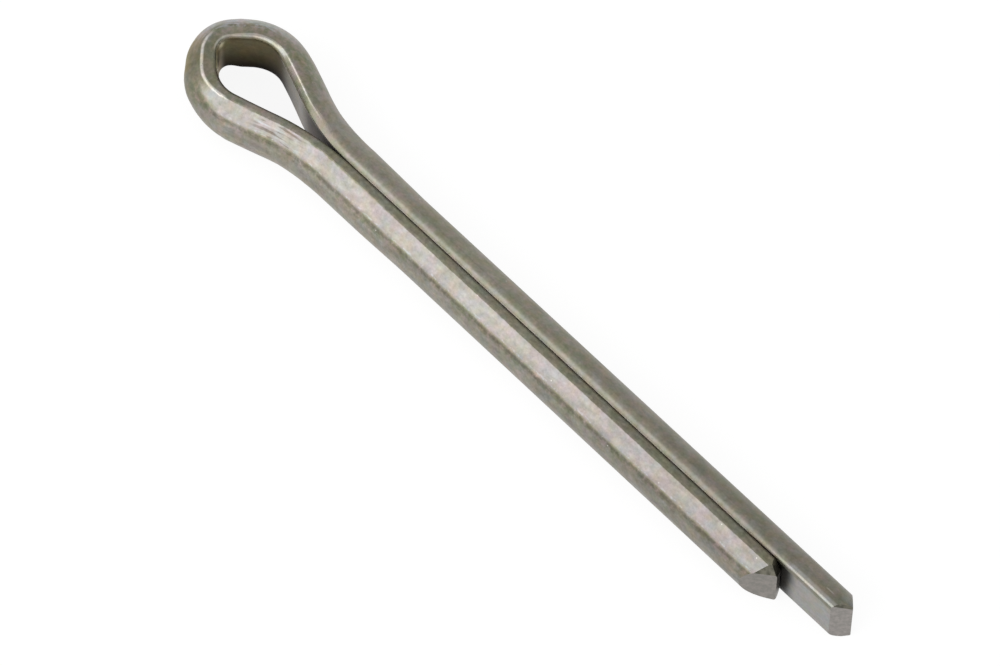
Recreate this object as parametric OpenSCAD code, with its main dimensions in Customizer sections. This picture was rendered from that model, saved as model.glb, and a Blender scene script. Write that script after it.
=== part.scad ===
// Split cotter pin: one length of half-round wire, folded back on itself.
// The flat sides of the two legs face each other, so the closed shank is round.
// The fold stands open as an eye. One leg is longer than the other.
// The pin lies on its side: +X runs from the eye to the tips, +Y from the short
// leg to the long one, and +Z along the hole of the eye. Millimetres.

/* [Wire] */
// Diameter of the closed shank, which is the width of the half-round wire
wire_d = 4.5; // [3.6:0.1:5.4]
// Rounding of the wire's two inner corners
corner_r = 0.5; // [0.2:0.05:0.55]
// What the rolled edges take off each side of the round back
edge_cut = 0.08; // [0.07:0.01:0.2]
// Gap left between the closed legs
leg_gap = 0.05; // [0.02:0.01:0.3]

/* [Legs] */
// Length of the short leg, from the neck of the eye to its tip
short_leg = 42.5; // [20:0.5:80]
// How far the long leg reaches past the short one
leg_step = 5.3; // [2:0.1:9]

/* [Eye] */
// Radius of the flat side where the short leg flares out from the shank
flare_r = 18; // [10:0.5:24]
// Angle to which the flare opens on the short leg's side
short_flare = 18.2; // [16:0.1:20]
// Length of the arm after the flare on the short leg's side
short_arm = 3.3; // [2:0.1:5]
// Slight bow of each arm and of each stretch beside the crown, in degrees
bow = 2; // [1:0.5:4]
// Inside radius of the two shoulders of the eye
shoulder_r = 2.5; // [1.5:0.1:3.5]
// Turn of the shoulder on the short leg's side
short_shoulder = 57.6; // [55:0.1:61]
// Turn of the shoulder on the long leg's side
long_shoulder = 62.2; // [60:0.1:65]
// Inside radius of the crown, the tight bend at the end of the eye
crown_r = 0.95; // [0.5:0.05:1.6]
// Turn of the crown
crown_turn = 91.1; // [88:0.1:94]
// Length of the stretch on each side of the crown
crown_side = 1.25; // [0.5:0.05:2.5]
// Part of the long leg's way back to the shank that its flare takes, and its arm the rest
flare_part = 0.52; // [0.3:0.01:0.7]

/* [Worn flat] */
// Edge of the flat nearer the gap, in degrees from the top of the wire
flat_inner_edge = 20; // [19:0.5:26]
// Edge of the flat on the outside of the leg, in degrees from the top
flat_outer_edge = 52.5; // [40:0.5:60]
// Part of the shoulder's turn over which the flat runs out
flat_fade = 38; // [20:1:50]

/* [Tips] */
// Height of the short leg's chisel edge above the flat side of the wire
short_edge = 0.65; // [0.3:0.05:1.6]
// Slope of the short tip's inner bevel, from a square end
short_inner_bevel = 25; // [0:1:50]
// Slope of the short tip's outer bevel, from a square end
short_outer_bevel = 50; // [20:1:60]
// Height of the long leg's chisel edge above the flat side of the wire
long_edge = 1.0; // [0.3:0.05:1.6]
// Slope of the long tip's inner bevel, from a square end
long_inner_bevel = 47; // [0:1:55]
// Slope of the long tip's outer bevel, from a square end
long_outer_bevel = 45; // [20:1:60]

/* [Hidden] */
$fn = 96;

wire_r = wire_d / 2;
steel = [0.50, 0.48, 0.43];
// Reach of the blocks that only cut, past the wire's surface
over = 1;

half_width = wire_r - edge_cut;

// The worn flat is a chord of the round back
flat_mid = (flat_inner_edge + flat_outer_edge) / 2;
flat_sagitta = wire_r * (1 - cos((flat_outer_edge - flat_inner_edge) / 2));
flat_drift = flat_sagitta / sin(flat_mid) / (1 - cos(flat_fade));

// Headings of the wire, in degrees from +X, as it runs from the short leg round the eye
neck_head = 180;
short_arm_head = neck_head + short_flare;
short_shoulder_head = short_arm_head - bow;
crown_in_head = short_shoulder_head - short_shoulder;
crown_head = crown_in_head - bow;
crown_out_head = crown_head - crown_turn;
long_shoulder_head = crown_out_head - bow;
long_arm_head = long_shoulder_head - long_shoulder;
long_flare_head = long_arm_head - bow;
long_flare = -long_flare_head;

function along(length, head) = length * [cos(head), sin(head)];
function to_right(length, head) = along(length, head - 90);
function arc_chord(radius, turn) = 2 * radius * sin(turn / 2);
function arc_radius(chord, turn) = chord / 2 / sin(turn / 2);
function move_right(radius, turn, head) = along(arc_chord(radius, turn), head - turn / 2);
function move_left(radius, turn, head) = along(arc_chord(radius, turn), head + turn / 2);

// Where the flat side of each bend starts
neck_at = [0, -leg_gap / 2];
short_arm_r = arc_radius(short_arm, bow);
crown_side_r = arc_radius(crown_side, bow);
short_arm_at = neck_at + move_left(flare_r, short_flare, neck_head);
short_shoulder_at = short_arm_at + move_right(short_arm_r, bow, short_arm_head);
crown_in_at = short_shoulder_at + move_right(shoulder_r, short_shoulder, short_shoulder_head);
crown_at = crown_in_at + move_right(crown_side_r, bow, crown_in_head);
crown_out_at = crown_at + move_right(crown_r, crown_turn, crown_head);
long_shoulder_at = crown_out_at + move_right(crown_side_r, bow, crown_out_head);
long_arm_at = long_shoulder_at + move_right(shoulder_r, long_shoulder, long_shoulder_head);

// The long arm and its flare are as large as brings the long leg back beside the short one
long_fall = long_arm_at.y - leg_gap / 2;
long_arm_fall = (1 - flare_part) * long_fall;
long_arm_r = arc_radius(long_arm_fall / sin(bow / 2 - long_arm_head), bow);
long_flare_r = flare_part * long_fall / (1 - cos(long_flare));
long_flare_at = long_arm_at + move_right(long_arm_r, bow, long_arm_head);
long_neck_at = long_flare_at + move_left(long_flare_r, long_flare, long_flare_head);
long_leg = short_leg + leg_step - long_neck_at.x;

// The box around the pin, whose bottom centre is the origin
tip_x = short_leg + leg_step;
eye_x = crown_at.x + to_right(crown_r, crown_head).x - crown_r - wire_r;
low_y = short_shoulder_at.y + to_right(shoulder_r, short_shoulder_head).y - shoulder_r - wire_r;
high_y = long_shoulder_at.y + to_right(shoulder_r, long_shoulder_head).y + shoulder_r + wire_r;
box_centre = [(eye_x + tip_x) / 2, (low_y + high_y) / 2];

// Half-round section: x is the height above the flat side, y runs across it
module rounded_corner() {
    intersection() {
        translate([corner_r, half_width - corner_r]) circle(r = corner_r);
        translate([0, half_width - corner_r]) square(corner_r);
    }
}

module plain_section() {
    intersection() {
        circle(r = wire_r);
        union() {
            translate([0, corner_r - half_width]) square([wire_r, 2 * (half_width - corner_r)]);
            translate([corner_r, -half_width]) square([wire_r, 2 * half_width]);
            rounded_corner();
            mirror([0, 1]) rounded_corner();
        }
    }
}

// What lies beyond the worn flat, on the upper part of the round back
module beyond_flat() {
    rotate(90 - flat_mid)
        translate([wire_r - flat_sagitta, -wire_r])
            square([flat_sagitta + over, 2 * wire_r]);
}

module worn_section() {
    difference() {
        plain_section();
        beyond_flat();
    }
}

// Moves a flat or solid shape in two steps, which keeps the small digits of the place
module at(place) {
    coarse = [for (step = place) round(step * 100) / 100];
    translate(coarse)
        translate(place - coarse)
            children();
}

// A bend starts at a place and heading and turns to one side. The round back is on its left.
module bend_right(place, head, radius, turn) {
    at(place + to_right(radius, head))
        rotate_extrude(start = head + 90 - turn, angle = turn)
            at([radius, 0])
                children();
}

module bend_left(place, head, radius, turn) {
    at(place - to_right(radius, head))
        rotate_extrude(start = head - 90, angle = turn)
            at([radius, 0])
                mirror([1, 0])
                    children();
}

// A leg lies along the shank, with its round back on one side and its flat side on the other
module leg(place, length) {
    at(place)
        rotate([90, 0, 90])
            linear_extrude(height = length)
                children();
}

// Plan of a leg with its chisel tip at x = 0, running back along -X
module leg_plan(length, edge, inner_bevel, outer_bevel) {
    top = wire_r + over;
    linear_extrude(height = 2 * wire_d, center = true)
        polygon([[0, edge], [-(top - edge) * tan(outer_bevel), top], [-length - over, top],
                 [-length - over, -over], [-(edge + over) * tan(inner_bevel), -over]]);
}

module short_leg_wire() {
    intersection() {
        leg(neck_at, short_leg) mirror([1, 0]) worn_section();
        at([short_leg, neck_at.y])
            mirror([0, 1, 0])
                leg_plan(short_leg, short_edge, short_inner_bevel, short_outer_bevel);
    }
}

module long_leg_wire() {
    intersection() {
        leg(long_neck_at, long_leg) plain_section();
        at([tip_x, long_neck_at.y])
            leg_plan(long_leg, long_edge, long_inner_bevel, long_outer_bevel);
    }
}

// The shoulder on the short leg's side, where the worn flat runs out
module fading_shoulder() {
    cut_r = shoulder_r + flat_drift;
    cut_at = short_shoulder_at + to_right(cut_r, short_shoulder_head);
    lead = 2;
    difference() {
        bend_right(short_shoulder_at, short_shoulder_head, shoulder_r, short_shoulder)
            plain_section();
        at(cut_at)
            rotate_extrude(start = short_shoulder_head + 90 - flat_fade - lead,
                           angle = flat_fade + 2 * lead)
                at([cut_r, 0])
                    beyond_flat();
    }
}

module eye_wire() {
    bend_left(neck_at, neck_head, flare_r, short_flare) worn_section();
    bend_right(short_arm_at, short_arm_head, short_arm_r, bow) worn_section();
    fading_shoulder();
    bend_right(crown_in_at, crown_in_head, crown_side_r, bow) plain_section();
    bend_right(crown_at, crown_head, crown_r, crown_turn) plain_section();
    bend_right(crown_out_at, crown_out_head, crown_side_r, bow) plain_section();
    bend_right(long_shoulder_at, long_shoulder_head, shoulder_r, long_shoulder) plain_section();
    bend_right(long_arm_at, long_arm_head, long_arm_r, bow) plain_section();
    bend_left(long_flare_at, long_flare_head, long_flare_r, long_flare) plain_section();
}

module cotter_pin() {
    color(steel)
        translate([-box_centre.x, -box_centre.y, half_width])
            union() {
                short_leg_wire();
                eye_wire();
                long_leg_wire();
            }
}

cotter_pin();
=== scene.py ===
import math

import bpy
from mathutils import Matrix, Vector


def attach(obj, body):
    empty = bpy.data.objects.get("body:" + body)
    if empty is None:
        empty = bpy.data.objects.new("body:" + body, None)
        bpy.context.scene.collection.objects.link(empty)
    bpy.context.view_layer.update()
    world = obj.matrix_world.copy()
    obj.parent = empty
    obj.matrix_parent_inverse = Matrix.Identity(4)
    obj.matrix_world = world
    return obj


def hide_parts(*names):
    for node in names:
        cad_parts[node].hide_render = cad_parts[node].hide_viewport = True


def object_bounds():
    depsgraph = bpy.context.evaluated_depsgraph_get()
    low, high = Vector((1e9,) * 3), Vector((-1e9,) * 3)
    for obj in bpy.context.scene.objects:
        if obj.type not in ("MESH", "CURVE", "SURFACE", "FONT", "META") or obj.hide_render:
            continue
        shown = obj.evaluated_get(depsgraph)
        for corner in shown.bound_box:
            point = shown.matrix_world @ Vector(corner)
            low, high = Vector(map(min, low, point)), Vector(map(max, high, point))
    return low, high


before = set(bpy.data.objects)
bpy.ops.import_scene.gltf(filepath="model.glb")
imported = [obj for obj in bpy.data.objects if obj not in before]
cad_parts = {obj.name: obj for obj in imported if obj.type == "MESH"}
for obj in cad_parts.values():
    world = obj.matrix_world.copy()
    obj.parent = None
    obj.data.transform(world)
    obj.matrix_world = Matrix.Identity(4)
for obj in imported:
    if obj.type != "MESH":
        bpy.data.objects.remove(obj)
cad_low, cad_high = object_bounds()

scene = bpy.context.scene
scene.view_settings.view_transform = "Standard"

MM = 0.001


# ---- Camera ----
# A long lens looks down on the pin from above its short leg, turned so that the
# pin runs from the upper left of the picture to the lower right.
lean_to_short_leg = math.radians(20.41)
lean_to_tips = math.radians(20.115)
roll = math.radians(42.88)
view_point = Vector((-0.265, -1.087, 2.17)) * MM
view_distance = 452.33 * MM
sensor_width = 36.0
lens = 243.08

to_camera = Vector((
    math.sin(lean_to_tips),
    -math.cos(lean_to_tips) * math.sin(lean_to_short_leg),
    math.cos(lean_to_tips) * math.cos(lean_to_short_leg),
))
along_pin = Vector((1, 0, 0))
along_pin = (along_pin - along_pin.dot(to_camera) * to_camera).normalized()
across_pin = to_camera.cross(along_pin)
camera_right = math.cos(roll) * along_pin + math.sin(roll) * across_pin
camera_up = math.cos(roll) * across_pin - math.sin(roll) * along_pin

bpy.ops.object.camera_add()
camera = bpy.context.object
camera.name = "camera"
camera.data.sensor_width = sensor_width
camera.data.lens = lens
camera.data.clip_start = 10 * MM
camera.data.clip_end = 5000 * MM
camera_axes = Matrix((camera_right, camera_up, to_camera)).transposed()
camera.matrix_world = Matrix.Translation(view_point + view_distance * to_camera) @ camera_axes.to_4x4()
scene.camera = camera


# ---- Wire ----
# The whole pin is one length of half-round steel wire. It is drawn straight, its ends
# are sheared to a chisel edge, and it is folded flat side inwards round a small eye.
wire_radius = 2.25 * MM
half_width = 2.17 * MM
leg_gap = 0.05 * MM

# The folded shape, as lengths and inside radii of the flat side and as turns in degrees
short_leg = 42.5 * MM
leg_step = 5.3 * MM
flare_radius = 18 * MM
short_flare = 18.2
short_arm = 3.3 * MM
bow = 2
shoulder_radius = 2.5 * MM
short_shoulder = 57.6
long_shoulder = 62.2
crown_radius = 0.95 * MM
crown_turn = 91.1
crown_side = 1.25 * MM
flare_part = 0.52


def arc_radius(chord, turn):
    """Radius of an arc that turns so many degrees between two ends this far apart."""
    return chord / 2 / math.sin(math.radians(turn) / 2)


def arc_length(radius, turn):
    """Length along an arc that turns so many degrees."""
    return radius * math.radians(turn)


def walk(place, head, length, turn):
    """Where a stretch of wire ends that turns left by so many degrees, or right below zero."""
    chord = length
    if turn:
        half_turn = math.radians(turn) / 2
        chord = length * math.sin(half_turn) / half_turn
    middle = math.radians(head + turn / 2)
    return place + chord * Vector((math.cos(middle), math.sin(middle))), head + turn


# The stretches from the short tip to the long one: length, turn and space between rings
leg_ring = 0.25 * MM
arm_ring = 0.18 * MM
bend_ring = 0.1 * MM
crown_ring = 0.06 * MM
crown_side_length = arc_length(arc_radius(crown_side, bow), bow)
stretches = [
    (short_leg, 0, leg_ring),
    (arc_length(flare_radius, short_flare), short_flare, arm_ring),
    (arc_length(arc_radius(short_arm, bow), bow), -bow, arm_ring),
    (arc_length(shoulder_radius, short_shoulder), -short_shoulder, bend_ring),
    (crown_side_length, -bow, bend_ring),
    (arc_length(crown_radius, crown_turn), -crown_turn, crown_ring),
    (crown_side_length, -bow, bend_ring),
    (arc_length(shoulder_radius, long_shoulder), -long_shoulder, bend_ring),
]
place, head = Vector((short_leg, -leg_gap / 2)), 180
for length, turn, ring in stretches:
    place, head = walk(place, head, length, turn)

# The long arm and its flare bring the wire back beside the short leg
fall = place.y - leg_gap / 2
long_flare = bow - head
long_arm_radius = arc_radius((1 - flare_part) * fall / math.sin(math.radians(bow / 2 - head)), bow)
long_flare_radius = flare_part * fall / (1 - math.cos(math.radians(long_flare)))
for radius, turn in ((long_arm_radius, -bow), (long_flare_radius, long_flare)):
    length = arc_length(radius, abs(turn))
    stretches.append((length, turn, arm_ring))
    place, head = walk(place, head, length, turn)
stretches.append((short_leg + leg_step - place.x, 0, leg_ring))
starts = [0]
for length, turn, ring in stretches:
    starts.append(starts[-1] + length)
wire_length = starts[-1]
fade_start = starts[3]
crown_start = starts[5]
crown_out_start = starts[6]
long_shoulder_start = starts[7]
long_arm_start = starts[8]
long_flare_start = starts[9]
long_leg_start = starts[10]


def select_vertices(obj, test):
    """Selects in edit mode only the vertices whose place passes the test."""
    bpy.ops.mesh.select_all(action="DESELECT")
    bpy.ops.mesh.select_mode(type="VERT")
    bpy.ops.object.mode_set(mode="OBJECT")
    for vertex in obj.data.vertices:
        vertex.select = test(vertex.co)
    bpy.ops.object.mode_set(mode="EDIT")


def select_edges(obj, test):
    """Selects in edit mode only the edges whose two ends pass the test."""
    bpy.ops.mesh.select_mode(type="EDGE")
    bpy.ops.mesh.select_all(action="DESELECT")
    bpy.ops.object.mode_set(mode="OBJECT")
    points = obj.data.vertices
    for edge in obj.data.edges:
        edge.select = test(points[edge.vertices[0]].co, points[edge.vertices[1]].co)
    bpy.ops.object.mode_set(mode="EDIT")


# The half-round section stands at x = 0, its flat side at y = 0 and its back towards +Y. Its
# corners are rounded, and its flat side gets extra points for the presses to move.
section_points = 144
upper_corner_radius = 0.18 * MM
lower_corner_radius = 0.42 * MM
corner_points = 5
upper_edge_cuts = 4
flat_side_cuts = 14
upper_side_cuts = 2
tiny = 1e-7
bpy.ops.object.select_all(action="DESELECT")
bpy.ops.mesh.primitive_circle_add(
    vertices=section_points, radius=wire_radius, fill_type="NGON",
    rotation=(0, math.radians(90), 0))
wire = bpy.context.object
wire.name = "cotter_pin_wire"
bpy.ops.object.transform_apply(rotation=True)
bpy.ops.object.mode_set(mode="EDIT")
bpy.ops.mesh.select_all(action="SELECT")
bpy.ops.mesh.bisect(plane_co=(0, 0, 0), plane_no=(0, 1, 0), clear_inner=True, threshold=tiny)
for side in (-1, 1):
    bpy.ops.mesh.select_all(action="SELECT")
    bpy.ops.mesh.bisect(
        plane_co=(0, 0, side * half_width), plane_no=(0, 0, side), clear_outer=True, threshold=tiny)
for side, radius in ((1, upper_corner_radius), (-1, lower_corner_radius)):
    select_vertices(wire, lambda p: p.y < tiny and side * p.z > half_width - tiny)
    bpy.ops.mesh.bevel(
        offset=radius, segments=corner_points, affect="VERTICES", clamp_overlap=False)
select_edges(wire, lambda a, b: min(a.z, b.z) > half_width - tiny)
bpy.ops.mesh.subdivide(number_cuts=upper_edge_cuts)
select_edges(wire, lambda a, b: a.y < tiny and b.y < tiny)
bpy.ops.mesh.subdivide(number_cuts=flat_side_cuts)
select_edges(wire, lambda a, b: a.y < tiny and b.y < tiny and min(a.z, b.z) > half_width / 2)
bpy.ops.mesh.subdivide(number_cuts=upper_side_cuts)

# Shapes of the upper inner edge: how far it reaches across the top, how far it drops down the
# flat side, and its radius. Each row of edge_shapes gives the place where one is pressed.
crisp = (0.42 * MM, 0.42 * MM, 0.42 * MM)
rounder = (0.60 * MM, 0.60 * MM, 0.60 * MM)
tucked = (0.45 * MM, 0.45 * MM, 0.45 * MM)
steep_band = (0.43 * MM, 0.44 * MM, 1.6 * MM)
broad = (1.00 * MM, 0.36 * MM, 1.61 * MM)
closing = (0.50 * MM, 0.25 * MM, 0.62 * MM)
narrow = (0.24 * MM, 0.20 * MM, 0.28 * MM)
edge_shapes = [
    (0, crisp),
    (short_leg - 1.0 * MM, crisp),
    (short_leg + 3.0 * MM, rounder),
    (crown_start, rounder),
    (crown_start + 1.0 * MM, tucked),
    (long_arm_start - 0.9 * MM, tucked),
    (long_arm_start + 0.2 * MM, steep_band),
    (long_flare_start + 0.6 * MM, steep_band),
    (long_leg_start - 2.0 * MM, broad),
    (wire_length - 9.0 * MM, broad),
    (wire_length - 6.5 * MM, closing),
    (wire_length - 4.5 * MM, narrow),
    (wire_length, narrow),
]

# Round the crown the bend has flattened the top as far out as a raised crease. The rows give
# the crease's place in degrees from the top, and the flattened top leans by a share of it.
land_edge = math.degrees(math.acos(half_width / wire_radius))
crease_angles = [
    (0, land_edge),
    (fade_start - 0.7 * MM, land_edge),
    (fade_start + 0.5 * MM, 20.5),
    (fade_start + 2.2 * MM, 27),
    (long_shoulder_start - 1.0 * MM, 27),
    (long_shoulder_start + 0.5 * MM, 23),
    (long_arm_start - 0.4 * MM, land_edge),
    (wire_length, land_edge),
]
crease_lean = 0.56
crease_easing = 0.008 * MM

# How far the bends have swollen the round back, or thinned it below zero
swells = [
    (0, 0),
    (short_leg - 8.0 * MM, 0),
    (short_leg - 4.0 * MM, 0.09 * MM),
    (short_leg + 1.5 * MM, 0.10 * MM),
    (short_leg + 4.5 * MM, 0),
    (fade_start - 0.4 * MM, 0.08 * MM),
    (fade_start + 0.5 * MM, -0.05 * MM),
    (fade_start + 1.1 * MM, -0.08 * MM),
    (fade_start + 1.6 * MM, -0.05 * MM),
    (crown_start - 1.7 * MM, 0.05 * MM),
    (crown_start - 1.2 * MM, 0.10 * MM),
    (crown_start - 0.7 * MM, 0.08 * MM),
    (crown_start + 0.5 * MM, -0.06 * MM),
    (crown_out_start - 0.1 * MM, 0.07 * MM),
    (crown_out_start + 0.5 * MM, 0.14 * MM),
    (crown_out_start + 1.1 * MM, 0.11 * MM),
    (long_shoulder_start + 1.0 * MM, 0),
    (long_arm_start - 0.4 * MM, -0.06 * MM),
    (long_arm_start + 0.7 * MM, 0),
    (long_flare_start + 2.0 * MM, 0),
    (long_flare_start + 4.5 * MM, 0.10 * MM),
    (long_leg_start, 0.16 * MM),
    (long_leg_start + 5.0 * MM, 0.035 * MM),
    (wire_length, 0.03 * MM),
]

# Radius of the lower inner corner, which the tight bends have rounded off
lower_corners = [
    (0, lower_corner_radius),
    (fade_start, lower_corner_radius),
    (crown_start - 1.5 * MM, 0.90 * MM),
    (crown_out_start - 0.6 * MM, 0.90 * MM),
    (crown_out_start + 0.5 * MM, 0.45 * MM),
    (long_shoulder_start + 0.5 * MM, 0.45 * MM),
    (long_arm_start - 0.6 * MM, 0.65 * MM),
    (long_arm_start + 1.2 * MM, 0.65 * MM),
    (long_arm_start + 3.2 * MM, lower_corner_radius),
    (wire_length, lower_corner_radius),
]

# Worn flat: the upper outside of the short leg is rubbed down to a chord of the round back,
# between two angles from the top. It runs out within so many degrees of the shoulder's turn.
flat_inner_edge = 20
flat_outer_edge = 52.5
flat_middle = (flat_inner_edge + flat_outer_edge) / 2
flat_depth = wire_radius * (1 - math.cos(math.radians((flat_outer_edge - flat_inner_edge) / 2)))
flat_fade = 38
flat_outer_round = 0.7 * MM


def between(rows, place):
    """The value at a place, in a straight line between the rows on each side of it."""
    for (low, first), (high, second) in zip(rows, rows[1:]):
        if place <= high:
            part = (place - low) / (high - low)
            if isinstance(first, tuple):
                return tuple(a + part * (b - a) for a, b in zip(first, second))
            return first + part * (second - first)
    return rows[-1][1]


def outward(angle):
    """Direction across the wire that leans so many degrees from straight up to the round back."""
    return Vector((0, math.sin(math.radians(angle)), math.cos(math.radians(angle))))


def press(place, angle, height):
    """Presses the skin of one station down to a plane that faces this way at this height."""
    facing = outward(angle)
    select_vertices(wire, lambda p: abs(p.x - place) < tiny and p.dot(facing) > height + tiny)
    if not wire.data.total_vert_sel:
        return
    axes = (Vector((1, 0, 0)), facing.cross(Vector((1, 0, 0))), facing)
    bpy.ops.transform.resize(
        value=(1, 1, 0), orient_type="GLOBAL", orient_matrix=axes, orient_matrix_type="GLOBAL",
        constraint_axis=(False, False, True), center_override=Vector((place, 0, 0)) + facing * height)


def edge_height(angle, reach, drop, radius):
    """Height, facing this way, of an arc from the top of the wire to its flat side."""
    facing = outward(angle)
    top = Vector((0, reach, half_width))
    side = Vector((0, 0, half_width - drop))
    chord = side - top
    sag = math.sqrt(radius ** 2 - chord.length_squared / 4)
    centre = (top + side) / 2 + Vector((0, -chord.z, chord.y)).normalized() * sag
    low = math.degrees(math.atan2((side - centre).y, (side - centre).z))
    high = math.degrees(math.atan2((top - centre).y, (top - centre).z))
    if low < angle < high:
        return centre.dot(facing) + radius
    return max(top.dot(facing), side.dot(facing))


def flat_height(place):
    """Height of the worn flat, which runs out along the shoulder."""
    turned = max(0, place - fade_start) / shoulder_radius
    risen = flat_depth * (1 - math.cos(turned)) / (1 - math.cos(math.radians(flat_fade)))
    return min(wire_radius, wire_radius - flat_depth + risen)


# The section is drawn out from station to station, and pressed to shape at each one
fade_steps = 8
fade_step = arc_length(shoulder_radius, flat_fade) / fade_steps
least_spacing = 0.12 * MM
stations = {row[0] for row in edge_shapes + crease_angles + swells + lower_corners}
stations |= set(starts) | {fade_start + number * fade_step for number in range(fade_steps + 1)}
stations |= {short_leg / 3, 2 * short_leg / 3}
stations |= {long_leg_start + part * (wire_length - long_leg_start) / 4 for part in (1, 2, 3)}
stations = sorted(stations)
following = stations[1:] + [math.inf]
stations = [a for a, b in zip(stations, following) if b - a > least_spacing]
bpy.ops.mesh.select_mode(type="FACE")
bpy.ops.mesh.select_all(action="SELECT")
for start, end in zip(stations, stations[1:]):
    bpy.ops.mesh.extrude_region_move(TRANSFORM_OT_translate={"value": (end - start, 0, 0)})
bpy.ops.object.mode_set(mode="OBJECT")

# The piece's own UV map runs along the wire and round its back, in millimetres
flat_side_start = math.pi * wire_radius
uv_map = wire.data.uv_layers.new(name="along_and_round")
for face in wire.data.polygons:
    on_flat_side = face.normal.y < -0.9
    for corner in face.loop_indices:
        point = wire.data.vertices[wire.data.loops[corner].vertex_index].co
        if on_flat_side:
            around = flat_side_start + half_width + point.z
        else:
            around = wire_radius * math.atan2(point.y, point.z)
        uv_map.data[corner].uv = (point.x / MM, around / MM)

# Each station is swollen, and its corners, crease and worn flat are pressed in steps of angle
upper_edge_angles = range(-4, -90, -6)
lower_corner_angles = range(-96, -180, -12)
flat_round_parts = (0.2, 0.4, 0.6, 0.8)
bpy.ops.object.mode_set(mode="EDIT")
for place in stations:
    swollen = 1 + between(swells, place) / wire_radius
    select_vertices(wire, lambda p: abs(p.x - place) < tiny)
    bpy.ops.transform.resize(value=(1, swollen, 1), center_override=(place, 0, 0))
    for angle in upper_edge_angles:
        press(place, angle, edge_height(angle, *between(edge_shapes, place)))
    corner = between(lower_corners, place)
    if corner > lower_corner_radius:
        for angle in lower_corner_angles:
            facing = outward(angle)
            press(place, angle, Vector((0, corner, corner - half_width)).dot(facing) + corner)
    crease = between(crease_angles, place)
    if crease > land_edge:
        lean = crease_lean * (crease - land_edge)
        on_crease = wire_radius * outward(crease)
        press(place, lean, on_crease.dot(outward(lean)))
        between_them = (lean + crease) / 2
        press(place, between_them, on_crease.dot(outward(between_them)) - crease_easing)
    height = flat_height(place)
    if height < wire_radius - tiny:
        press(place, flat_middle, height)
        core = wire_radius - flat_outer_round
        round_end = flat_middle + math.degrees(math.acos((height - flat_outer_round) / core))
        for part in flat_round_parts:
            angle = flat_middle + part * (round_end - flat_middle)
            press(place, angle, flat_outer_round + core * math.cos(math.radians(round_end - angle)))

# Between the stations the wire gets rings, as close as the bend that they will lie in needs
ring_allowance = 0.01
for start, end in zip(stations, stations[1:]):
    rings_here = []
    for stretch_start, (length, turn, ring) in zip(starts, stretches):
        if stretch_start < end - tiny and stretch_start + length > start + tiny:
            rings_here.append(ring)
    ring_cuts = math.ceil((end - start) / min(rings_here) - ring_allowance) - 1
    if ring_cuts > 0:
        select_edges(wire, lambda a, b: abs(a.x - b.x) > tiny
                     and start - tiny < min(a.x, b.x) and max(a.x, b.x) < end + tiny)
        bpy.ops.mesh.subdivide(number_cuts=ring_cuts)
bpy.ops.object.mode_set(mode="OBJECT")

# Chisel tips: two shears cut each end to an edge that lies across the wire. The upper corner
# of each cut is knocked off, the short tip has a small crushed heel, and the lower end of
# each edge is rubbed round. An edge is given by its height above the flat side, and a bevel
# by its angle from a square end.
short_edge = 0.65 * MM
short_inner_bevel = 25
short_outer_bevel = 50
short_corner = Vector((0.139, 0.846, 1.283)) * MM
short_corner_facing = Vector((-0.585, 0.661, 0.469)).normalized()
long_edge = 1.0 * MM
long_inner_bevel = 47
long_outer_bevel = 45
short_heel = Vector((0, 0.65, 1.2)) * MM
short_heel_facing = Vector((-0.782, -0.555, 0.42)).normalized()
long_corner = Vector((wire_length - 0.27 * MM, 0.75 * MM, 1.95 * MM))
long_corner_facing = Vector((0.5, -0.3, 0.81)).normalized()


def bevel_slope(end, angle):
    """Direction that a bevel faces at the start (-1) or the end (1) of the wire."""
    return Vector((end * math.cos(math.radians(angle)), math.sin(math.radians(angle)), 0))


shears = [
    (Vector((0, short_edge, 0)), bevel_slope(-1, short_outer_bevel)),
    (Vector((0, short_edge, 0)), bevel_slope(-1, -short_inner_bevel)),
    (short_corner, short_corner_facing),
    (short_heel, short_heel_facing),
    (Vector((wire_length, long_edge, 0)), bevel_slope(1, long_outer_bevel)),
    (Vector((wire_length, long_edge, 0)), bevel_slope(1, -long_inner_bevel)),
    (long_corner, long_corner_facing),
]
tip_rounding = 0.2 * MM
rubbed_angles = (25, 62)
for end, tip, edge in ((-1, 0, short_edge), (1, wire_length, long_edge)):
    lower_end = -math.sqrt(wire_radius ** 2 - edge ** 2)
    middle = Vector((tip - end * tip_rounding, edge, lower_end + tip_rounding))
    for angle in rubbed_angles:
        facing = Vector((end * math.cos(math.radians(angle)), 0, -math.sin(math.radians(angle))))
        shears.append((middle + tip_rounding * facing, facing))
bpy.ops.object.mode_set(mode="EDIT")
for on_cut, facing in shears:
    bpy.ops.mesh.select_all(action="SELECT")
    bpy.ops.mesh.bisect(
        plane_co=on_cut, plane_no=facing, use_fill=True, clear_outer=True, threshold=tiny)
bpy.ops.object.mode_set(mode="OBJECT")

# The skin of the wire has material 0, and the faces that the shears left have three more
# The crushed corners, and as painted shade the short tip's heel beside the gap, get the dark material
short_cut_material, long_cut_material, crushed_and_shaded_material = 1, 2, 3
parallel = 0.9999
for face in wire.data.polygons:
    for on_cut, facing in shears:
        if face.normal.dot(facing) > parallel and abs((face.center - on_cut).dot(facing)) < tiny:
            if on_cut in (short_corner, short_heel, long_corner):
                face.material_index = crushed_and_shaded_material
            elif on_cut.x > wire_length / 2:
                face.material_index = long_cut_material
            else:
                face.material_index = short_cut_material

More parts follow.
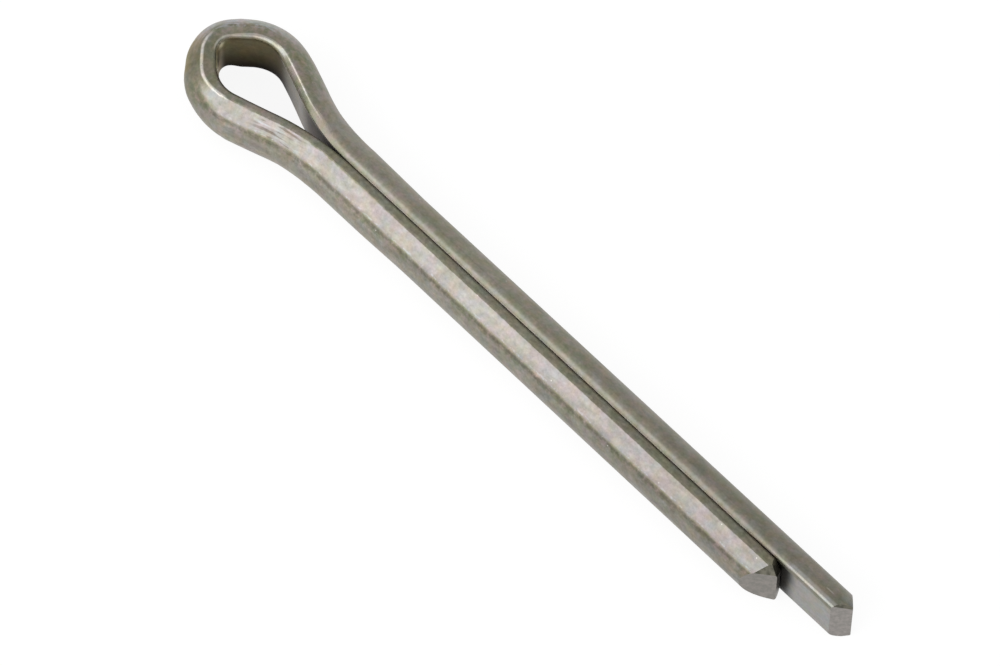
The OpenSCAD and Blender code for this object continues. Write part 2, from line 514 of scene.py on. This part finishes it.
# The straight wire is bent along the line that its flat side follows
step = 0.05 * MM
place, head = Vector((short_leg, -leg_gap / 2)), 180
line = [place]
for length, turn, ring in stretches:
    steps = math.ceil(length / step) if turn else 1
    for number in range(steps):
        place, head = walk(place, head, length / steps, turn / steps)
        line.append(place)
bending_line = bpy.data.curves.new("bending_line", "CURVE")
bending_line.dimensions = "2D"
spline = bending_line.splines.new("POLY")
spline.points.add(len(line) - 1)
for point, place in zip(spline.points, line):
    point.co = (place.x, place.y, 0, 1)
former = bpy.data.objects.new("bending_line", bending_line)
scene.collection.objects.link(former)
bend = wire.modifiers.new("bend", "CURVE")
bend.object = former
bend.deform_axis = "POS_X"
bpy.ops.object.modifier_apply(modifier=bend.name)
bpy.data.objects.remove(former)

# It lies on its side, with the middle of its box where the solid's is
sharp_angle = 12
low = Vector(map(min, *(vertex.co for vertex in wire.data.vertices)))
high = Vector(map(max, *(vertex.co for vertex in wire.data.vertices)))
bpy.ops.object.mode_set(mode="EDIT")
bpy.ops.mesh.select_all(action="SELECT")
bpy.ops.transform.translate(value=(cad_low + cad_high - low - high) / 2)
bpy.ops.mesh.normals_make_consistent(inside=False)
bpy.ops.object.mode_set(mode="OBJECT")
bpy.ops.object.shade_smooth_by_angle(angle=math.radians(sharp_angle))

# Dulled steel: olive grey with a drawn grain and rubbed bright on the worn flat, with painted
# highlights, painted light and painted shade in places.
# Places on it are in millimetres, as on the UV map: "along" runs from the short tip past the
# crown, near 56, to the long tip at 117.5, and "around" runs from the top of the wire down
# its round back to 7.1 and up its flat side to 11.4.


def start_steel(name):
    """A new metal: the material, its nodes, its links and its shader."""
    metal = bpy.data.materials.new(name)
    metal.use_nodes = True
    tree = metal.node_tree
    metal_shader = tree.nodes["Principled BSDF"]
    metal_shader.inputs["Metallic"].default_value = 1
    return metal, tree.nodes, tree.links, metal_shader


steel, nodes, links, shader = start_steel("dulled_steel")


def put(socket, value):
    """Joins a socket to an output, or gives it a number or colour."""
    if isinstance(value, bpy.types.NodeSocket):
        links.new(value, socket)
    else:
        socket.default_value = value


def calc(operation, first, second):
    """What an operation makes of two masks or numbers."""
    node = nodes.new("ShaderNodeMath")
    node.operation = operation
    put(node.inputs[0], first)
    put(node.inputs[1], second)
    return node.outputs[0]


def times(first, *others):
    """The product of masks and numbers."""
    for other in others:
        first = calc("MULTIPLY", first, other)
    return first


def plus(first, second):
    return calc("ADD", first, second)


def either(first, second):
    """The larger of two masks."""
    return calc("MAXIMUM", first, second)


def less(mask, share=1.0):
    """What a mask leaves of 1 when it takes a share of it away."""
    return calc("SUBTRACT", 1.0, times(mask, share))


def centred(pattern):
    """A pattern from 0 to 1 moved to swing about 0."""
    return calc("SUBTRACT", pattern, 0.5)


def about_one(pattern, swing):
    """A factor that follows a pattern a little above and below 1."""
    return plus(1.0, times(centred(pattern), swing))


def rise(value, low, high):
    """Mask that goes smoothly from 0 to 1 as the value goes from low to high."""
    node = nodes.new("ShaderNodeMapRange")
    node.interpolation_type = "SMOOTHSTEP"
    put(node.inputs["Value"], value)
    put(node.inputs["From Min"], low)
    put(node.inputs["From Max"], high)
    return node.outputs["Result"]


def within(value, low, high, soft):
    """Mask that is 1 where the value lies between low and high, with soft edges."""
    return times(rise(value, low - soft, low + soft), rise(value, high + soft, high - soft))


def mix(factor, first, second):
    """The first colour where the factor is 0, and the second where it is 1."""
    node = nodes.new("ShaderNodeMix")
    node.data_type = "RGBA"
    put(node.inputs["Factor"], factor)
    for socket, value in (("A", first), ("B", second)):
        put(node.inputs[socket], value if isinstance(value, bpy.types.NodeSocket) else (*value, 1))
    return node.outputs["Result"]


def painted(under, mask, strength, over):
    """A colour with another laid over it in a mask, as thickly as the strength says."""
    return mix(times(mask, strength), under, over)


def vector_calc(operation, first, socket, second):
    """A colour or place changed by an operation, with the second value in the named socket."""
    node = nodes.new("ShaderNodeVectorMath")
    node.operation = operation
    put(node.inputs[0], first)
    put(node.inputs[socket], second)
    return node.outputs[0]


def on_skin(along_scale, around_scale):
    """Place on the skin of the wire, as a pattern drawn out by two scales needs it."""
    node = nodes.new("ShaderNodeCombineXYZ")
    put(node.inputs["X"], times(along, along_scale))
    put(node.inputs["Y"], times(around, around_scale))
    return node.outputs[0]


def noise(vector, scale, detail, roughness=0.5):
    node = nodes.new("ShaderNodeTexNoise")
    put(node.inputs["Vector"], vector)
    node.inputs["Scale"].default_value = scale
    node.inputs["Detail"].default_value = detail
    node.inputs["Roughness"].default_value = roughness
    return node.outputs[0]


def roughen(height, depth, strength):
    """Gives the shader a fine unevenness that follows a pattern."""
    bump = nodes.new("ShaderNodeBump")
    bump.inputs["Distance"].default_value = depth
    bump.inputs["Strength"].default_value = strength
    put(bump.inputs["Height"], height)
    put(shader.inputs["Normal"], bump.outputs[0])


in_object = nodes.new("ShaderNodeTexCoord").outputs["Object"]
skin_map = nodes.new("ShaderNodeUVMap")
skin_map.uv_map = "along_and_round"
split = nodes.new("ShaderNodeSeparateXYZ")
put(split.inputs[0], skin_map.outputs["UV"])
along, around = split.outputs["X"], split.outputs["Y"]

# Patterns of the tarnish: the first five are scaled per metre, and the last four lie along the
# skin, drawn out lengthwise
patches = noise(in_object, 450, 2)
blotches = noise(in_object, 2300, 3, 0.6)
specks = noise(in_object, 5200, 2, 0.6)
warmth = noise(in_object, 1200, 2)
blueness = noise(vector_calc("ADD", in_object, 1, (0.1, 0.1, 0.1)), 1200, 2)
drift = noise(on_skin(0.5, 1.4), 1, 4, 0.65)
grain = noise(on_skin(0.5, 7.0), 1, 3, 0.6)
flakes = noise(on_skin(2.2, 4.0), 1, 2, 0.6)
gouges = noise(on_skin(0.6, 3.6), 1, 1.5)

# Places with a wavering edge, for areas that fade unevenly
wavy_around = plus(around, times(centred(blotches), 0.16))
wavy_along = plus(along, times(centred(patches), 0.6))

# Where the stretches of the wire begin, and the edges of the worn flat
neck = short_leg / MM
fade = fade_start / MM
crown = crown_start / MM
long_arm = long_arm_start / MM
long_flare_bend = long_flare_start / MM
long_neck = long_leg_start / MM
long_tip = wire_length / MM
beside_short_tip = long_tip - leg_step / MM
flat_low = wire_radius / MM * math.radians(flat_inner_edge)
flat_high = wire_radius / MM * math.radians(flat_outer_edge)
flat_end = fade + 0.25

# The tarnished skin is olive in patches and grey in others, with rosy and mossy spots and a
# drawn grain. It is calmer past the eye, on the long leg.
olive = (0.216, 0.215, 0.152)
warm_grey = (0.280, 0.256, 0.216)
rosy_grey = (0.305, 0.245, 0.228)
moss = (0.175, 0.190, 0.120)
grain_grey = (0.34, 0.32, 0.27)
liveliness = less(rise(along, 62, 68), 0.4)
patchy = plus(0.5, times(centred(rise(patches, 0.38, 0.62)), liveliness))
colour = mix(patchy, olive, warm_grey)
colour = painted(colour, times(rise(blotches, 0.45, 0.7), liveliness), 0.7, rosy_grey)
colour = painted(colour, times(rise(blotches, 0.45, 0.25), liveliness), 0.6, moss)
colour = painted(colour, rise(grain, 0.55, 0.8), 0.3, grain_grey)

# Outside the bends the skin is streaked, and a painted highlight makes its top paler there.
# The outer side of the short leg is paler too, and the strip on top of it is more olive.
crown_top_highlight_grey = (0.395, 0.38, 0.355)
streak_grey = (0.43, 0.43, 0.435)
outer_grey = (0.312, 0.292, 0.25)
strip_olive = (0.222, 0.215, 0.16)
# Painted highlight: the top of the wire outside the crown is paler
crown_top_highlight = times(within(wavy_along, 55.9, 60.2, 0.5), rise(around, 1.0, 1.6))
colour = painted(colour, crown_top_highlight, 0.8, crown_top_highlight_grey)
streaked = times(within(wavy_along, 55.4, 59.4, 0.5), within(around, 0.95, 1.9, 0.2))
colour = painted(colour, times(streaked, rise(flakes, 0.46, 0.62)), 0.8, streak_grey)
short_side = rise(along, crown - 1, crown - 4)
outer_side = times(short_side, within(wavy_around, 2.55, 5.0, 0.12))
colour = painted(colour, outer_side, 0.7, outer_grey)
top_strip = times(rise(along, neck + 6, neck), rise(around, 0.78, 0.70))
colour = painted(colour, top_strip, 0.8, strip_olive)

# The worn flat runs out in a pale patch on the shoulder, and the skin beyond it is darker
run_out_grey = (0.335, 0.330, 0.31)
crown_olive = (0.178, 0.172, 0.112)
run_out = times(within(wavy_along, flat_end, 52.9, 0.3), within(wavy_around, flat_low, 1.75, 0.12))
colour = painted(colour, run_out, 0.85, run_out_grey)
colour = painted(colour, within(wavy_along, 53.2, 55.6, 0.5), 0.6, crown_olive)

# A dark line of tarnish lies beside the worn flat. The flat itself is rubbed to bare metal,
# with gouges near the eye and flecks along its outer edge.
tarnish = (0.158, 0.147, 0.108)
bare_steel = (0.310, 0.289, 0.266)
bright_steel = (0.342, 0.314, 0.290)
gouge_brown = (0.190, 0.165, 0.140)
gouge_bright = (0.40, 0.41, 0.39)
flat_edge_grey = (0.19, 0.18, 0.165)
fleck_grey = (0.385, 0.395, 0.38)
tarnish_line = times(within(wavy_around, flat_high + 0.02, flat_high + 0.3, 0.08),
                     short_side, rise(blotches, 0.78, 0.38))
colour = painted(colour, tarnish_line, 0.8, tarnish)
near_eye = within(along, 45.4, 49.2, 0.8)
flecked = times(within(wavy_around, flat_high - 0.20, flat_high + 0.06, 0.05),
                rise(flakes, 0.54, 0.62))
rubbed = mix(rise(drift, 0.36, 0.64), bare_steel, bright_steel)
rubbed = mix(times(near_eye, rise(gouges, 0.51, 0.62)), rubbed, gouge_brown)
rubbed = mix(times(near_eye, rise(gouges, 0.46, 0.34)), rubbed, gouge_bright)
rubbed = painted(rubbed, rise(around, flat_high - 0.4, flat_high + 0.1), 0.5, flat_edge_grey)
rubbed = painted(rubbed, flecked, 0.7, fleck_grey)
on_flat = times(within(wavy_around, flat_low, flat_high - 0.07, 0.05),
                rise(wavy_along, flat_end + 0.1, flat_end - 0.1))
colour = mix(on_flat, colour, rubbed)

# Painted highlights on the upper inner corner along the long leg, round the crown and at the long tip
leg_corner_highlight_grey = (0.49, 0.485, 0.44)
crown_corner_highlight_grey = (0.49, 0.465, 0.405)
tip_corner_highlight_grey = (0.465, 0.455, 0.425)
leg_corner_highlight = times(within(around, 0.15, 0.31, 0.13),
                   plus(times(within(along, 68.3, 73.5, 0.9), 0.15),
                        times(within(along, 69, 110, 1.5), 0.32)))
colour = mix(leg_corner_highlight, colour, leg_corner_highlight_grey)
corner_width = plus(0.20, times(rise(along, 56.0, 58.5), 0.16))
crown_corner_highlight = times(rise(around, 0.02, 0.14), rise(around, plus(corner_width, 0.08), corner_width),
                     within(wavy_along, crown, long_arm + 0.2, 0.4))
colour = painted(colour, crown_corner_highlight, 0.75, crown_corner_highlight_grey)
tip_corner_highlight = times(rise(around, 0.5, 0.3), rise(wavy_along, long_tip - 7, long_tip - 4))
colour = painted(colour, tip_corner_highlight, 0.75, tip_corner_highlight_grey)

# Painted highlights along the creases on the crown and the long arm
crease_highlight_colour = (0.68, 0.64, 0.57)
from_crease = calc("SUBTRACT", around, plus(flat_low, times(rise(along, fade, fade + 2.2), 0.29)))
crown_crease_highlight = times(within(from_crease, -0.11, 0.10, 0.07),
                     within(wavy_along, fade + 0.2, crown + 0.7, 0.3))
arm_crease_highlight = times(within(around, 0.36, 0.49, 0.05),
                   within(wavy_along, long_arm, long_flare_bend + 2.5, 0.6),
                   calc("SUBTRACT", 0.76, times(rise(along, 63.6, 65.2), 0.45)))
crease_highlights = times(plus(crown_crease_highlight, arm_crease_highlight), rise(specks, 0.2, 0.4))
colour = mix(crease_highlights, colour, crease_highlight_colour)

# The end of the long leg is greyer, with a short bright nick beside it
end_grey = (0.255, 0.265, 0.255)
nick_grey = (0.46, 0.45, 0.42)
grey_end = times(rise(wavy_along, long_tip - 1.5, long_tip - 0.6), rise(around, 0.8, 1.2))
colour = painted(colour, grey_end, 0.7, end_grey)
nick = times(within(along, long_tip - 2.25, long_tip - 1.65, 0.1), within(around, 0.78, 0.86, 0.04))
colour = painted(colour, nick, 0.7, nick_grey)

# The flat side is plain on the legs. Inside the eye it is dark, brown scale together with painted
# shade of the hollow, and painted light makes it paler on the wall into the crown and along the rim.
flat_side_brown = (0.285, 0.262, 0.238)
flat_side_grey = (0.375, 0.365, 0.345)
scale_and_shade_black = (0.015, 0.013, 0.009)
scale_and_shade_brown = (0.150, 0.128, 0.072)
wall_light_brown = (0.155, 0.135, 0.105)
wall_light_tan = (0.36, 0.335, 0.225)
rim_light_tan = (0.42, 0.37, 0.25)
under_rim_light_tan = (0.95, 0.86, 0.62)
inner_low = flat_side_start / MM + 0.2
inner_high = inner_low + 3.6
inner = within(around, inner_low, inner_high, 0.1)
inner_colour = mix(rise(along, 72, 66), flat_side_grey, flat_side_brown)
colour = painted(colour, inner, 0.85, inner_colour)
in_eye = times(rise(along, 43.0, 49.0), rise(along, 65.6, 60.4))
# Dark scale and painted shade inside the eye
scale_and_shade = times(within(around, inner_low - 0.2, inner_high, 0.1), in_eye)
scale_and_shade_edge = times(rise(around, inner_high - 0.3, inner_high), within(along, 46.0, long_arm, 0.5))
scale_and_shade = either(scale_and_shade, scale_and_shade_edge)
# Painted light on the wall that leads into the crown, brightest under its rim
crown_wall_light = within(along, 54.2, 55.95, 0.35)
wall_light_colour = mix(rise(around, 8.6, 10.6), wall_light_brown, wall_light_tan)
under_rim_light = times(within(along, 53.6, 56.0, 0.4), rise(around, 10.3, 10.9))
scale_and_shade_colour = mix(rise(around, inner_low, inner_high + 0.4), scale_and_shade_black, scale_and_shade_brown)
scale_and_shade_colour = painted(scale_and_shade_colour, crown_wall_light, 0.85, wall_light_colour)
# Painted light along the rim's edge of the flat side inside the eye
scale_and_shade_colour = mix(rise(around, 10.95, 11.3), scale_and_shade_colour, rim_light_tan)
scale_and_shade_colour = mix(under_rim_light, scale_and_shade_colour, under_rim_light_tan)
colour = mix(scale_and_shade, colour, scale_and_shade_colour)

# Painted light on the inner corners where the legs close on each other, which lightens the dark gap
# between them
gap_light_grey = (0.54, 0.50, 0.43)
on_legs = either(rise(along, neck + 1.5, neck - 1), rise(along, long_neck - 1, long_neck + 2))
on_legs = times(on_legs, rise(along, beside_short_tip + 0.6, beside_short_tip - 0.2))
gap_light = times(rise(around, 10.75, 11.0), rise(around, 11.32, 11.18), on_legs)
colour = painted(colour, gap_light, 0.8, gap_light_grey)

# Painted shade in the fork where the legs meet, and a painted shadow on the long leg just past the
# short tip
fork_shade_brown = (0.085, 0.070, 0.060)
tip_shadow_black = (0.034, 0.032, 0.028)
fork_shade_depth = plus(times(rise(along, 63.8, 65.9), 0.74), times(rise(along, 67.3, 69.5), 0.18))
fork_shade = times(inner, fork_shade_depth, rise(along, long_neck + 5.5, long_neck + 2.5))
colour = mix(fork_shade, colour, fork_shade_brown)
tip_shadow = times(inner, rise(wavy_along, beside_short_tip + 1.2, beside_short_tip + 0.05),
              rise(along, beside_short_tip - 3, beside_short_tip - 2))
colour = mix(tip_shadow, colour, tip_shadow_black)

# Both legs darken a little towards their tips, and every pattern shades the whole skin a
# little. The strip and the outer side of the short leg are mottled more.
from_tip = calc("MINIMUM", along, calc("SUBTRACT", long_tip, along))
mottled = plus(times(top_strip, 0.9, centred(flakes)), times(outer_side, 0.5, centred(drift)))
shade = times(
    plus(0.84, times(rise(from_tip, 6, 34), 0.16)),
    about_one(specks, 0.52),
    about_one(blotches, times(liveliness, 0.60)),
    plus(1.0, mottled),
    about_one(drift, 0.40),
)
colour = vector_calc("SCALE", colour, "Scale", shade)
rosier = mix(rise(warmth, 0.3, 0.7), (0.955, 1.023, 1.023), (1.045, 0.977, 0.977))
bluer = mix(rise(blueness, 0.3, 0.7), (1.0, 1.0, 0.915), (1.0, 1.0, 1.085))
colour = vector_calc("MULTIPLY", colour, 1, rosier)
colour = vector_calc("MULTIPLY", colour, 1, bluer)

# Painted glints: a few scattered bright specks, each the size of a grain of dust
painted_glint_grey = (0.58, 0.56, 0.52)
scattered = nodes.new("ShaderNodeTexVoronoi")
scattered.inputs["Scale"].default_value = 1.15
put(scattered.inputs["Vector"], on_skin(1, 1))
chosen = nodes.new("ShaderNodeSeparateXYZ")
put(chosen.inputs[0], scattered.outputs["Color"])
painted_glint = times(rise(scattered.outputs["Distance"], 0.07, 0.03),
              rise(chosen.outputs["X"], 0.62, 0.66),
              rise(around, 0.7, 0.8), rise(around, 2.6, 2.3))
colour = mix(painted_glint, colour, painted_glint_grey)

# Scale shines less at a glancing view than bare metal. The sheen is also dulled in the fork, as
# painted shade, and kept up and warmed on the wall into the crown and under its rim, as painted light.
bare_sheen = (1, 1, 1)
crown_wall_light_sheen = (0.95, 0.85, 0.70)
dull_sheen = (0.50, 0.49, 0.50)
dulled = times(scale_and_shade, rise(around, 11.3, 10.95), less(crown_wall_light, 0.85),
               less(rise(along, 60.6, 62.2), 0.65))
dulled = times(either(dulled, fork_shade), less(under_rim_light))
sheen = mix(dulled, mix(crown_wall_light, bare_sheen, crown_wall_light_sheen), dull_sheen)

put(shader.inputs["Base Color"], colour)
put(shader.inputs["Specular Tint"], sheen)
put(shader.inputs["Roughness"], plus(0.36, times(specks, 0.12)))
roughen(plus(times(grain, 0.5), times(specks, 0.5)), depth=0.01 * MM, strength=0.6)
wire.data.materials.append(steel)

# Steel of the faces at the tips, mottled and with short furrows down the cut. The sheared
# faces are fresher. The crushed corners are dark, and on the short tip's heel beside the gap that dark
# is painted shade. Each row is a name and two colours.
tip_steels = [
    ("short_sheared_steel", (0.308, 0.280, 0.258), (0.234, 0.224, 0.204)),
    ("long_sheared_steel", (0.335, 0.308, 0.290), (0.256, 0.243, 0.226)),
    ("crushed_and_shaded_steel", (0.205, 0.195, 0.155), (0.115, 0.112, 0.088)),
]
furrow_stretch = (1, 1, 0.25)
for name, light, dark in tip_steels:
    steel, nodes, links, shader = start_steel(name)
    in_object = nodes.new("ShaderNodeTexCoord").outputs["Object"]
    stretch = nodes.new("ShaderNodeMapping")
    stretch.inputs["Scale"].default_value = furrow_stretch
    put(stretch.inputs["Vector"], in_object)
    furrows = noise(stretch.outputs[0], 4200, 3, 0.6)
    patches = noise(in_object, 2600, 3, 0.6)
    colour = mix(rise(patches, 0.35, 0.65), dark, light)
    colour = painted(colour, rise(furrows, 0.45, 0.7), 0.4, dark)
    put(shader.inputs["Base Color"], colour)
    put(shader.inputs["Roughness"], plus(0.42, times(furrows, 0.1)))
    roughen(furrows, depth=0.012 * MM, strength=0.8)
    wire.data.materials.append(steel)

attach(wire, "root")
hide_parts("cotter_pin")


# ---- Floor and light ----
# White paper fills the picture and keeps a faint shadow of the pin. The room is evenly
# light, and one softbox stands beyond the short leg.
floor_size = 4
bpy.ops.object.select_all(action="DESELECT")
bpy.ops.mesh.primitive_plane_add(size=floor_size)
floor = bpy.context.object
floor.name = "floor"

# The paper glows to the camera and in the reflections on the steel, and lights nothing else
paper_white = 0.14
paper_glow = 0.89
paper = bpy.data.materials.new("white_paper")
paper.use_nodes = True
nodes, links = paper.node_tree.nodes, paper.node_tree.links
matt = nodes["Principled BSDF"]
matt.inputs["Base Color"].default_value = (paper_white, paper_white, paper_white, 1)
matt.inputs["Roughness"].default_value = 0.9
matt.inputs["Specular IOR Level"].default_value = 0
path = nodes.new("ShaderNodeLightPath")
seen = either(path.outputs["Is Camera Ray"], path.outputs["Is Glossy Ray"])
seen = either(seen, path.outputs["Is Transmission Ray"])
glow = nodes.new("ShaderNodeEmission")
put(glow.inputs["Strength"], times(seen, paper_glow))
together = nodes.new("ShaderNodeAddShader")
put(together.inputs[0], matt.outputs[0])
put(together.inputs[1], glow.outputs[0])
put(nodes["Material Output"].inputs["Surface"], together.outputs[0])
floor.data.materials.append(paper)

room_light = 0.8
world = bpy.data.worlds.new("studio")
scene.world = world
world.use_nodes = True
background = world.node_tree.nodes["Background"]
background.inputs["Color"].default_value = (1, 1, 1, 1)
background.inputs["Strength"].default_value = room_light

lamp_direction = Vector((-0.24, -0.80, 0.55)).normalized()
lamp_distance = 800 * MM
softbox_width = 1050 * MM
softbox_height = 600 * MM
softbox_radiance = 1.6
bpy.ops.object.light_add(type="AREA", location=lamp_direction * lamp_distance)
softbox = bpy.context.object
softbox.name = "softbox"
softbox.data.shape = "RECTANGLE"
softbox.data.size = softbox_width
softbox.data.size_y = softbox_height
softbox.data.energy = softbox_radiance * math.pi * softbox_width * softbox_height
softbox.rotation_mode = "QUATERNION"
softbox.rotation_quaternion = lamp_direction.to_track_quat("Z", "Y")
softbox.visible_camera = False
